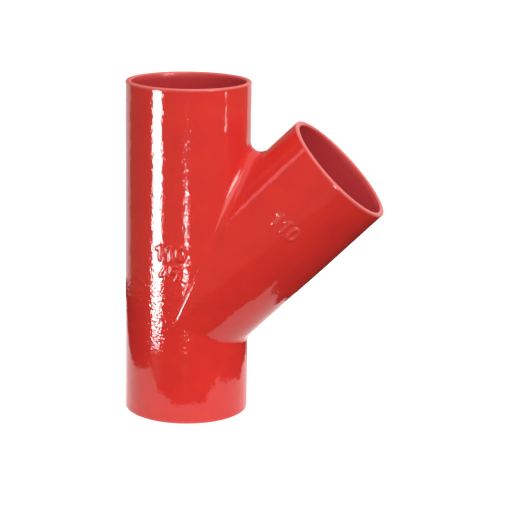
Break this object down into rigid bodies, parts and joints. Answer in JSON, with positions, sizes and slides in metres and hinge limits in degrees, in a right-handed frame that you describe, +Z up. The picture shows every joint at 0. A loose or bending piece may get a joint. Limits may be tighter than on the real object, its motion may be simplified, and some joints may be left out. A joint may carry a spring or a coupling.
{
  "type": "lateral wye fitting",
  "caption": "Plain-ended cast iron lateral wye: a straight run with an equal branch leaving it at a slant, coated in gloss red, joined to pipes by band couplings.",
  "frame": {"origin": "centre of the lower end face of the run", "axes": "+Z up the run towards its upper end; the branch leans from +Z towards +X; Y is square to the plane of both axes"},
  "size_m": [0.2283, 0.1116, 0.295],
  "materials": {
    "red_coating": "gloss red coating over a cast skin"
  },
  "bodies": {
    "root": {"wye_body": "red_coating"}
  },
  "joints": []
}
